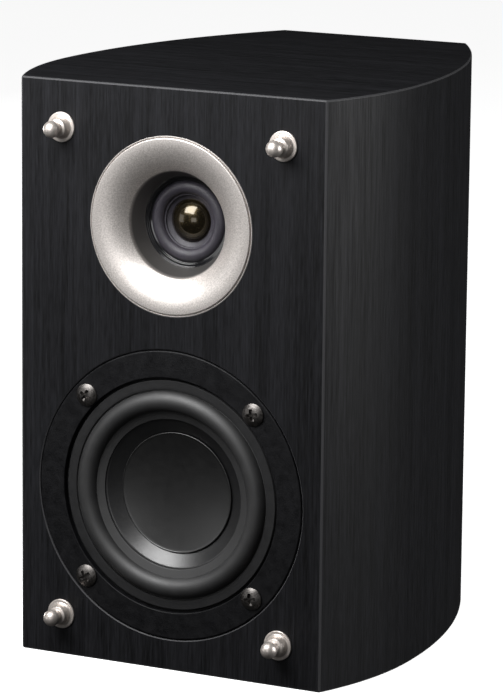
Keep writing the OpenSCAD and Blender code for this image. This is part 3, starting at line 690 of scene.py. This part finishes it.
def screw(name, head_r, head_h, shank_r, shank_len, places):
    """Cross-head pan screws: one is cut, and the rest are copies of it."""
    edge = head_h * 0.35
    crown = head_h - edge
    dome_r = (head_r ** 2 + crown ** 2) / (2 * crown)
    steps = 10
    turns = [k / steps for k in range(steps, -1, -1)]
    dome = [(head_r * t, head_h - dome_r + math.sqrt(dome_r ** 2 - (head_r * t) ** 2), 0) for t in turns]
    point = 1.5
    corners = [(0, -shank_len, 0), (shank_r / 2, -shank_len, 0.1), (shank_r, point - shank_len, 0.1),
               (shank_r, 0, 0), (head_r - 0.1, 0, 0.1), (head_r, edge / 2, 0.2)]
    one = make(name, [lathe(fillet(corners + dome), sides=48)])
    span, width = head_r * 1.15, head_r * 0.31
    levels = [(head_h - 0.62 * head_h, 0.62), (head_h - 0.3 * head_h, 0.9), (head_h + 0.3, 1.12)]
    cross = [plus_row(span * share, width * share, level) for level, share in levels]
    carve(one, [make("cutter", [loft(cross)])])
    verts = [v.co / MM for v in one.data.vertices]
    faces = [tuple(p.vertices) for p in one.data.polygons]
    bpy.data.objects.remove(one)
    return [([place @ v for v in verts], faces) for place in places]


def woofer_screws():
    parts = screw("screw", 4.2, 2.1, SCREW_R, SCREW_LENGTH, woofer_screw_places())
    make("flange_screws", parts, "dark_nickel", replaces=["woofer_screws"], sharp=40)


# ---------- tweeter ----------

def waveguide():
    """A shallow flare, a steep throat, a thin ring round the lip and a spigot behind."""
    lip, lip_r, rim = 0.6, GUIDE_R - 0.35, GUIDE_R - 1.4
    ring_r, ring_top = GUIDE_R + 0.3, 0.15
    groove_r, groove = GUIDE_R - 0.05, -0.5
    seat = -2.9
    spigot_in, spigot_out, spigot_end = GUIDE_R - 5.4, GUIDE_R - 3.5, 0.2 - BAFFLE
    crease = THROAT_R + CREASE
    steps = 40
    turns = [TAU / 8 * k / steps for k in range(steps)]
    across = [math.sin(t) / math.sin(TAU / 8) for t in turns]
    down = [(1 - math.cos(t)) / (1 - math.cos(TAU / 8)) for t in turns]
    flare = [(rim - (rim - crease) * a, lip + (CREASE_LEVEL - lip) * d, 0) for a, d in zip(across, down)]
    throat = [(crease, CREASE_LEVEL, 1.2), (THROAT_R + 0.4, 0.8 - FLARE, 0.4), (THROAT_R, -FLARE, 0)]
    back = [(THROAT_R + 2, -FLARE, 0), (crease + 1.5, CREASE_LEVEL - 2, 1), (GUIDE_R - 4.6, -2.7, 0)]
    spigot = [(spigot_in, seat), (spigot_in, spigot_end), (spigot_out, spigot_end), (spigot_out, seat)]
    corners = [(ring_r, seat, 0), (ring_r, ring_top, 0.1), (groove_r, ring_top, 0.05), (groove_r, groove, 0),
               (lip_r, groove, 0), (lip_r, lip, 0.8), *flare, *throat, *back]
    corners += [(r, level, 0) for r, level in spigot]
    make("waveguide", [lathe(fillet(corners, 6), at_front(0, TWEETER_Z))], "champagne_satin",
         replaces=["tweeter_waveguide"])


def throat_ring():
    """A ring with two narrow ledges that step in from the throat to the surround."""
    outside = 24
    ledges = [(0.1, 0.05, 0.15), (0.3, 0.7, 0.2), (1.3, 0.8, 0.2), (1.4, 1.6, 0.2), (2.3, 1.75, 0.2)]
    steps_in = [(THROAT_R - inset, -FLARE - drop, edge) for inset, drop, edge in ledges]
    corners = [(outside, DOME_PLANE, 0), (outside, -FLARE - GLUE, 0), *steps_in,
               (THROAT_R - 2.4, DOME_PLANE, 0)]
    make("throat_ring", [lathe(fillet(corners), at_front(0, TWEETER_Z))], "gloss_black",
         replaces=["tweeter_throat_ring"])


def roll_halves(name, finish, node, place, mid, half, thick, base, foot, landing):
    """A half-roll surround in two turned pieces that meet along its crest.

    The outer piece has the foot and stays on the frame. The inner piece has the landing, and
    is left on no body.
    """
    steps = 36
    turns = [TAU / 4 * k / steps for k in range(steps + 1)]
    under = half - thick
    skin = [(mid + half * math.cos(t), base + half * math.sin(t)) for t in turns]
    lining = [(mid + under * math.cos(t), base + under * math.sin(t)) for t in turns]
    outer = foot + [p for p in skin if p[1] > foot[-1][1] + 0.02] + list(reversed(lining))
    make(name + "_outer", [lathe(outer, place)], finish, replaces=[node])
    mirror = [(2 * mid - r, level) for r, level in skin]
    mirror_lining = [(2 * mid - r, level) for r, level in lining]
    inner = list(reversed([p for p in mirror if p[1] > landing[0][1] + 0.02])) + landing + mirror_lining
    piece = make(name + "_inner", [lathe(inner, place)])
    dress(piece, finish, None, [node])
    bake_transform(piece)


def tweeter_surround():
    base = DOME_PLANE - 0.45
    thick = 0.35
    foot_r = 18.2
    outside, inside = DOME_ROLL_R + DOME_ROLL_HALF, DOME_ROLL_R - DOME_ROLL_HALF
    foot = [(foot_r, base), (foot_r, base + thick), (outside + 0.1, base + thick)]
    landing = [(inside - 0.1, base + thick), (inside - 0.5, base + thick), (inside - 0.5, base),
               (inside + 0.3, base)]
    roll_halves("dome_surround", "woven_grey", "tweeter_surround",
                at_front(0, TWEETER_Z), DOME_ROLL_R, DOME_ROLL_HALF, thick, base, foot, landing)


def diaphragm():
    """The short cone of cloth between the surround's roll and the dome."""
    top = DOME_PLANE - 0.5
    outer, thick, steps = DOME_ROLL_R - DOME_ROLL_HALF, 0.35, 16
    drop = top - DOME_EDGE
    face = []
    for k in range(steps + 1):
        t = k / steps
        face.append((outer + (DOME_R - outer) * t, top - drop * t ** 0.85))
    back = [(r, level - thick) for r, level in reversed(face)]
    make("diaphragm", [lathe(face + back, at_front(0, TWEETER_Z))], "woven_grey", "tweeter_dome_assembly",
         ["tweeter_diaphragm"])


def dome():
    rise, thick, steps = 4.0, 0.3, 40
    ball = (DOME_R ** 2 + rise ** 2) / (2 * rise)
    reach = math.asin(DOME_R / ball)
    turns = [reach * k / steps for k in range(steps + 1)]
    face = [(ball * math.sin(t), DOME_EDGE + rise - ball + ball * math.cos(t)) for t in reversed(turns)]
    inner = ball - thick
    back = [(inner * math.sin(t), DOME_EDGE + rise - ball + inner * math.cos(t)) for t in turns]
    make("dome", [lathe(face + back, at_front(0, TWEETER_Z))], "dome_gold", "tweeter_dome_assembly",
         ["tweeter_dome"])


# ---------- woofer ----------

def basket():
    """The frame: a flat flange, a seat for the surround, and a bowl with windows in two rows."""
    body_r = HOLE_R - 1.2
    rear_r, wall, shelf, plate, shoulder = 31, 1.5, -15.6, -27, -8
    shelf_r, seat_foot = 25.5, -3.8
    hole = NECK_R + 1.75
    end = plate + GLUE
    corners = [(FLANGE_R, 0.1, 0.6), (FLANGE_R, -FLANGE_T, 0), (body_r, -FLANGE_T, 0),
               (body_r, shoulder, 0.8), (rear_r, shelf - wall, 0.8), (rear_r, end, 0.3), (hole, end, 0),
               (hole, plate + wall, 0.3),
               (rear_r - wall, plate + wall, 0.5), (rear_r - wall, shelf - wall, 0.2),
               (shelf_r, shelf - wall, 0.2), (shelf_r, shelf, 0.2), (rear_r - 1, shelf, 0.5),
               (body_r - wall, shoulder, 0.5), (body_r - wall, seat_foot, 0.2), (SEAT_R, seat_foot, 0.2),
               (SEAT_R, SEAT, 0), (WELL_R, SEAT, 0.1), (WELL_R, 0.1, 0.4)]
    place = at_front(0, WOOFER_Z)
    shell = make("basket", [lathe(fillet(corners), place)])
    cutters = [hole_cutter(2.2, spot, -10) for spot in woofer_screw_places()]
    for k in range(4):
        turned = place @ Matrix.Rotation(TAU / 4 * k, 4, "Z")
        cutters.append(box_cutter(20, 60, -13, 13, shelf + 0.5, shelf + 9.5, turned))
        behind_terminals = k == 1
        if not behind_terminals:
            cutters.append(box_cutter(20, 60, -9, 9, plate + wall + 2, plate + wall + 7.5, turned))
    carve(shell, cutters)
    dress(shell, "textured_black", "speaker", ["woofer_basket"])


def gasket_ring():
    level = FRONT - high("woofer_gasket_ring").y
    top = FRONT - low("woofer_gasket_ring").y
    r0 = ROLL_R + ROLL_HALF + 0.4
    r1 = WELL_R - 0.8
    corners = [(r0, level, 0), (r0, top - 0.1, 0.25), (r0 + 0.9, top, 0.3), (r1 - 0.4, top, 0.3),
               (r1, level, 0)]
    make("gasket", [lathe(fillet(corners), at_front(0, WOOFER_Z))], "seal_foam",
         replaces=["woofer_gasket_ring"])


def woofer_surround():
    top = SEAT + 0.6
    foot = [(WELL_R - 0.8, SEAT), (WELL_R - 0.8, top), (ROLL_R + ROLL_HALF + 0.15, top)]
    inside = ROLL_R - ROLL_HALF
    start = (inside + 0.05, top)
    glued = CONE_RIM + GLUE
    slope = fillet([(*start, 0), (CONE_EDGE + 0.1, CONE_RIM + 0.62, 0.25), (CONE_EDGE, glued, 0),
                    (inside - 0.2, glued, 0), (inside + 0.5, SEAT, 0)])
    landing = [start] + [p for p in slope if p != start]
    roll_halves("surround", "surround_rubber", "woofer_surround",
                at_front(0, WOOFER_Z), ROLL_R, ROLL_HALF, ROLL_T, SEAT, foot, landing)


def cone():
    """A thin cone whose face sags a little between its neck and its rim."""
    thick, sag, steps = 0.8, 0.3, 24
    edge = ROLL_R - ROLL_HALF - 0.2
    face = []
    for k in range(steps + 1):
        t = k / steps
        level = CONE_NECK + (CONE_RIM - CONE_NECK) * t - sag * math.sin(math.pi * t)
        face.append((NECK_R + (CONE_EDGE - NECK_R) * t, level))
    back = [(r + 0.1, level - thick) for r, level in reversed(face)]
    outline = face + [(edge, CONE_RIM), (edge, CONE_RIM - thick)] + back
    make("cone", [lathe(outline, at_front(0, WOOFER_Z))], "cone_black", "woofer_cone_assembly",
         ["woofer_cone"])


def dust_cap():
    """A dished cap with a rolled edge, deeper in the middle."""
    r, rim, dish, thick = 22.8, -5.65, 3, 0.5
    steps = 30
    lip = 0.25
    radii = [(r - 2 * lip) * k / steps for k in range(steps + 1)]
    face = [(x, rim - GLUE - dish * (1 - (x / r) ** 2), 0) for x in radii]
    rolled = arc(r - lip, rim - lip, lip, 100, -60, 8)
    back = [(x, level - thick, 0) for x, level, _ in reversed(face)]
    make("dust_cap", [lathe(fillet(face + rolled + back), at_front(0, WOOFER_Z))], "cap_black",
         "woofer_cone_assembly", ["woofer_dust_cap"])


def spider():
    """A corrugated disc in equal sectors, each made as a separate piece on no body."""
    sectors, waves, steps, across = 12, 3, 48, 8
    shelf, lift, ripple, thick = -15.6, 0.4, 0.9, 0.35
    r0, r1, r2 = NECK_R + 0.02, 25.5, 28.5
    radii = [r0 + (r1 - r0) * k / steps for k in range(steps + 1)]
    face = [(r, shelf + lift + ripple * math.sin(TAU * waves * (r - r0) / (r1 - r0))) for r in radii]
    face.append((r2, shelf + lift))
    strip = face + [(r, level - thick) for r, level in reversed(face)]
    place = at_front(0, WOOFER_Z)
    sector = TAU / sectors
    for k in range(sectors):
        rows = []
        for j in range(across + 1):
            turn = sector * (k + j / across - 0.5)
            rows.append([polar(r, turn, level) for r, level in strip])
        piece = make(f"spider_{k + 1}", [loft(rows, place)])
        dress(piece, "spider_cloth", None, ["woofer_spider"])
        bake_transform(piece)


def smooth_path(points, steps=10):
    """A smooth curve through a few points."""
    path = []
    for i in range(len(points) - 1):
        a, b, c, d = (Vector(points[min(max(i + k, 0), len(points) - 1)]) for k in (-1, 0, 1, 2))
        for k in range(steps):
            t = k / steps
            path.append(0.5 * (2 * b + (c - a) * t + (2 * a - 5 * b + 4 * c - d) * t ** 2
                               + (3 * b - a - 3 * c + d) * t ** 3))
    return path + [Vector(points[-1])]


def tube(path, r, sides=12, braid=0.0):
    """A round wire along a path, or a braided one whose skin rises and falls."""
    rows = []
    for i, point in enumerate(path):
        along = (path[min(i + 1, len(path) - 1)] - path[max(i - 1, 0)]).normalized()
        side = along.cross(Vector((0.31, 0.23, 0.92))).normalized()
        other = along.cross(side)
        row = []
        for k in range(sides):
            turn = TAU * k / sides
            swell = 1 + braid * math.sin(3 * turn + i * 0.9)
            row.append(point + r * swell * (math.cos(turn) * side + math.sin(turn) * other))
        rows.append(row)
    return loft(rows)


def tinsel_leads():
    route = [(4.5, 17.3, 33.6), (5, 14.5, 36.5), (6, 12, 34), (6, 11.5, 26), (5, 12.6, 18),
             (4.5, 12.7, 13.8)]
    for name, s in (("left", -1), ("right", 1)):
        path = smooth_path([(s * x, FRONT + y, WOOFER_Z + z) for x, y, z in route], 14)
        piece = make(name + "_tinsel_lead", [tube(path, 0.5, braid=0.12)])
        dress(piece, "copper", None, ["woofer_tinsel_leads"])
        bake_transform(piece)


# ---------- rear ----------

def port_tube():
    bend = 7
    mouth = outer_r("port_tube")
    outside = PORT_R + PORT_WALL
    flare = arc(PORT_R + bend, -bend, bend, 180, 90, 24)
    corners = [(PORT_R, PORT_END, 0), *flare, (mouth, 0, 0.35), (mouth, -PORT_RIM_T, 0),
               (outside, -PORT_RIM_T, 0), (outside, PORT_END, 0.3)]
    make("port", [lathe(fillet(corners), at_rear(0, PORT_Z), 128)], "port_black", replaces=["port_tube"])


def terminal_cup():
    """A moulded cup: a flange with soft edges round a well whose walls lean a little."""
    place = at_rear(0, CUP_Z)
    edges = soft_levels(GLUE, CUP_PROUD, 0.5)
    flange = [rounded_rect(CUP_W, CUP_H, 5, level, inset) for level, inset in edges]
    body_w, body_h = CUP_WELL_W + 2 * CUP_WALL, CUP_WELL_H + 2 * CUP_WALL
    body = [rounded_rect(body_w, body_h, CUP_BODY_R, z) for z in (-CUP_DEPTH - CUP_WALL, 1)]
    cup = make("cup", [loft(flange, place)])
    carve(cup, [make("cutter", [loft(body, place)])], "UNION")
    lean, lip = 0.6, 0.8
    well = [rounded_rect(CUP_WELL_W, CUP_WELL_H, 4, -CUP_DEPTH, lean)]
    for x, level, _ in arc(0, CUP_PROUD - lip, lip, 180, 90, 5):
        well.append(rounded_rect(CUP_WELL_W, CUP_WELL_H, 5, level, -lip - x))
    well.append(rounded_rect(CUP_WELL_W, CUP_WELL_H, 5, CUP_PROUD + 2, -lip))
    cutters = [make("cutter", [loft(well, place)])]
    for sx in (-1, 1):
        post = place @ Matrix.Translation((sx * POST_X, 0, -CUP_DEPTH))
        cutters.append(hole_cutter(POST_R + GLUE, post, -OVERCUT))
        for sy in (-1, 1):
            corner = place @ Matrix.Translation(cup_screw_spot(sx, sy, CUP_PROUD))
            cutters.append(hole_cutter(2.7, corner, -CUP_SCREW_SINK, 3, 40))
            cutters.append(hole_cutter(1.6, corner, -6, 3, 32))
    carve(cup, cutters)
    dress(cup, "cup_black", "speaker", ["terminal_cup"])


def cup_screw_spot(sx, sy, level):
    return sx * (CUP_W / 2 - CUP_SCREW_IN), sy * (CUP_H / 2 - CUP_SCREW_IN), level


def cup_screws():
    """Four small screws sunk in the cup's corners, each with its cross at its own angle."""
    places = []
    for sx in (-1, 1):
        for sy in (-1, 1):
            spot = cup_screw_spot(sx, sy, CUP_PROUD - CUP_SCREW_SINK)
            turn = Matrix.Rotation(0.4 * sx + 0.9 * sy, 4, "Z")
            places.append(at_rear(0, CUP_Z) @ Matrix.Translation(spot) @ turn)
    make("cup_screws", screw("screw", 2.5, 1.2, 1.2, 9, places), "dark_nickel",
         replaces=["terminal_cup_screws"])


def threaded_row(r, depth, pitch, level, sides):
    """One level of an outside thread: the radius rises and falls once a turn."""
    row = []
    for k in range(sides):
        turn = k / sides
        phase = (level / pitch - turn) % 1
        row.append(polar(r - depth * abs(2 * phase - 1), TAU * turn, level))
    return row


def fluted_row(r, flutes, bite, level, sides):
    """One level of a knob with rounded flutes round it."""
    row = []
    for k in range(sides):
        turn = TAU * k / sides
        row.append(polar(r - bite * max(0.0, math.cos(flutes * turn)) ** 0.7, turn, level))
    return row


def threaded_post(name, place):
    """A gold post with an outside thread and a socket for a plug."""
    node = name + "_post"
    tail, tip = behind(node)
    pitch, depth, sides, steps_a_turn = 1.0, 0.22, 48, 8
    floor = -CUP_DEPTH + 1
    thread = tip - tail - 0.6
    steps = int((tip - tail - 1) / pitch * steps_a_turn)
    rows = [threaded_row(POST_R, depth, pitch, tail + thread * k / steps, sides) for k in range(steps + 1)]
    ends = [(POST_R - 0.35, tip - 0.3), (POST_R - 0.45, tip), (SOCKET_R + 0.25, tip), (SOCKET_R, tip - 0.3),
            (SOCKET_R, floor), (0.01, floor), (0.01, tail)]
    rows += [circle(r, level, sides) for r, level in ends]
    make(name + "_threaded_post", [loft(rows, place, ring=True)], "gold_plate", replaces=[node])


def post_base(name, place, tint):
    """The moulded collar that holds the post off the cup's floor."""
    bore, r, height = POST_R + GLUE, 6.8, 3.4
    floor = -CUP_DEPTH
    corners = [(bore, floor, 0), (r, floor, 0), (r, floor + height, 0.4), (bore, floor + height, 0.2)]
    make(name + "_base", [lathe(fillet(corners), place, FINE)], tint, replaces=[name + "_post_base"])


def post_washer(name, place):
    node = name + "_clamp_washer"
    start, end = behind(node)
    bore, r = POST_R + 0.06, 6
    corners = [(bore, start, 0.15), (r, start, 0.2), (r, end, 0.2), (bore, end, 0.15)]
    make(name + "_washer", [lathe(fillet(corners), place, FINE)], "gold_plate",
         name + "_washer_body", [node])


def post_knob(name, place, tint):
    """The fluted knob, with a plain collar at its inner end and a rounded outer end."""
    node = name + "_knob"
    start, end = behind(node)
    r, bore, flutes, sides = outer_r(node), POST_R + 0.06, 18, 216
    levels = [(start, 0.3, 0), (start + 0.3, 0, 0), (start + 1.7, 0, 0), (start + 2.1, 0, 0.55),
              (end - 1.0, 0, 0.55), (end - 0.4, 0.4, 0.35), (end, 1.1, 0.05)]
    rows = [fluted_row(r - shrink, flutes, bite, level, sides) for level, shrink, bite in levels]
    rows += [circle(POST_R + 0.6, end, sides), circle(bore, end - 0.5, sides), circle(bore, start, sides)]
    make(name + "_cap", [loft(rows, place, ring=True)], tint, name + "_knob_body", [node])


def binding_post(name, x, tint):
    place = at_rear(x, CUP_Z)
    threaded_post(name, place)
    post_base(name, place, tint)
    post_washer(name, place)
    post_knob(name, place, tint)


# ---------- inside ----------

def wadding():
    """A lofty fibre pad: a rounded slab with a lumpy skin."""
    lo, hi = low("damping_wadding"), high("damping_wadding")
    centre = (lo + hi) / 2
    size = (hi - lo) / 2
    sides, levels = 192, 24
    squareness = 0.45
    rows = []
    for j in range(levels + 1):
        up = -math.cos(math.pi * j / levels)
        reach = 0.94 * (0.25 + 0.75 * (1 - abs(up) ** 6) ** 0.4)
        row = []
        for k in range(sides):
            turn = TAU * k / sides
            x = math.copysign(abs(math.cos(turn)) ** squareness, math.cos(turn))
            y = math.copysign(abs(math.sin(turn)) ** squareness, math.sin(turn))
            point = centre + Vector((size.x * x * reach, size.y * y * reach, size.z * 0.85 * up))
            point.z += noise.noise(point * 0.09) * 1.3 + noise.noise(point * 0.3) * 0.5
            row.append(point)
        rows.append(row)
    pad = make("wadding_pad", [loft(rows)], "wadding", replaces=["damping_wadding"], sharp=80)


def dress_cad_nodes():
    """Gives every CAD node that still shows the finish of its own material slot."""
    for part in frame["record"]["subparts"]:
        node = frame["nodes"][part["node"]]
        for place in node.material_slots:
            place.material = FINISHES[part["material_slot"]]


# ---------- studio ----------

# name, azimuth and elevation in degrees, distance, width and height in metres, power in watts
SOFT_BOXES = [
    ("key", -17, 43, 0.52, 0.34, 0.30, 3.9),
    ("front", 5, 3, 1.4, 0.50, 0.40, 1.2),
    ("left", -50, 3, 1.2, 0.50, 0.50, 1.0),
    ("right", 106, 12, 1.2, 0.60, 0.60, 9.5),
    ("rear", -118, 0, 1.3, 0.60, 0.20, 7),
]
AMBIENT = 0.02
PAPER_GLOW = 0.9

CAMERA_PLACE = (0.6837, FRONT * MM - 1.2786, 0.4211)
CAMERA_TURN = 26.956     # degrees round from straight ahead
CAMERA_TILT = 11.67
CAMERA_ROLL = 0.558
LENS = 208.4


def studio():
    """A white surround that only the camera sees, a dim ambient light, and soft boxes."""
    scene = bpy.context.scene
    scene.view_settings.view_transform = "Standard"
    world = bpy.data.worlds.new("studio")
    scene.world = world
    world.use_nodes = True
    tree = world.node_tree
    ambient = tree.nodes["Background"]
    ambient.inputs["Color"].default_value = (1, 1, 1, 1)
    ambient.inputs["Strength"].default_value = AMBIENT
    backdrop = tree.nodes.new("ShaderNodeBackground")
    backdrop.inputs["Color"].default_value = (1, 1, 1, 1)
    backdrop.inputs["Strength"].default_value = 1.0
    seen = tree.nodes.new("ShaderNodeLightPath")
    both = tree.nodes.new("ShaderNodeMixShader")
    tree.links.new(seen.outputs["Is Camera Ray"], both.inputs[0])
    tree.links.new(ambient.outputs[0], both.inputs[1])
    tree.links.new(backdrop.outputs[0], both.inputs[2])
    tree.links.new(both.outputs[0], tree.nodes["World Output"].inputs["Surface"])

    aim = Vector((0, 0, HEIGHT / 2)) * MM
    for name, azimuth, rise, distance, wide, tall, power in SOFT_BOXES:
        data = bpy.data.lights.new(name, "AREA")
        data.shape = "RECTANGLE"
        data.size = wide
        data.size_y = tall
        data.energy = power
        lamp = bpy.data.objects.new(name, data)
        scene.collection.objects.link(lamp)
        a, e = math.radians(azimuth), math.radians(rise)
        back = Vector((math.sin(a) * math.cos(e), -math.cos(a) * math.cos(e), math.sin(e)))
        lamp.location = aim + back * distance
        lamp.rotation_mode = "QUATERNION"
        lamp.rotation_quaternion = (-back).to_track_quat("-Z", "Y")


def floor():
    reach, thick = 4000, 20
    corners = ((-reach, -reach), (reach, -reach), (reach, reach), (-reach, reach))
    rows = [[Vector((x, y, z)) for x, y in corners] for z in (-thick, 0)]
    slab = make("floor", [loft(rows)])
    f = Finish("floor_paper", roughness=0.9, specular=0.1)
    f.colour(f.spread(f.noise(6), 0.3, 0.7, 0, 1), (0.86, 0.86, 0.86), (0.90, 0.90, 0.90))
    f.shader.inputs["Emission Color"].default_value = (1, 1, 1, 1)
    f.shader.inputs["Emission Strength"].default_value = PAPER_GLOW
    slab.data.materials.append(FINISHES["floor_paper"])
    slab.visible_diffuse = False
    slab.visible_glossy = False


def camera():
    data = bpy.data.cameras.new("camera")
    data.sensor_width = 36
    data.lens = LENS
    data.clip_end = 30
    seat = bpy.data.objects.new("camera", data)
    bpy.context.scene.collection.objects.link(seat)
    turn = Matrix.Rotation(math.radians(CAMERA_TURN), 4, "Z")
    tilt = Matrix.Rotation(math.radians(90 - CAMERA_TILT), 4, "X")
    roll = Matrix.Rotation(math.radians(CAMERA_ROLL), 4, "Z")
    seat.matrix_world = Matrix.Translation(CAMERA_PLACE) @ turn @ tilt @ roll
    bpy.context.scene.camera = seat


camera()
studio()
make_finishes()
floor()
baffle()
side_panels()
top_and_bottom()
rear_panel()
grille_studs()
woofer_screws()
waveguide()
throat_ring()
tweeter_surround()
diaphragm()
dome()
basket()
gasket_ring()
woofer_surround()
cone()
dust_cap()
spider()
tinsel_leads()
port_tube()
terminal_cup()
cup_screws()
binding_post("positive", -POST_X, "knob_red")
binding_post("negative", POST_X, "knob_black")
wadding()
dress_cad_nodes()
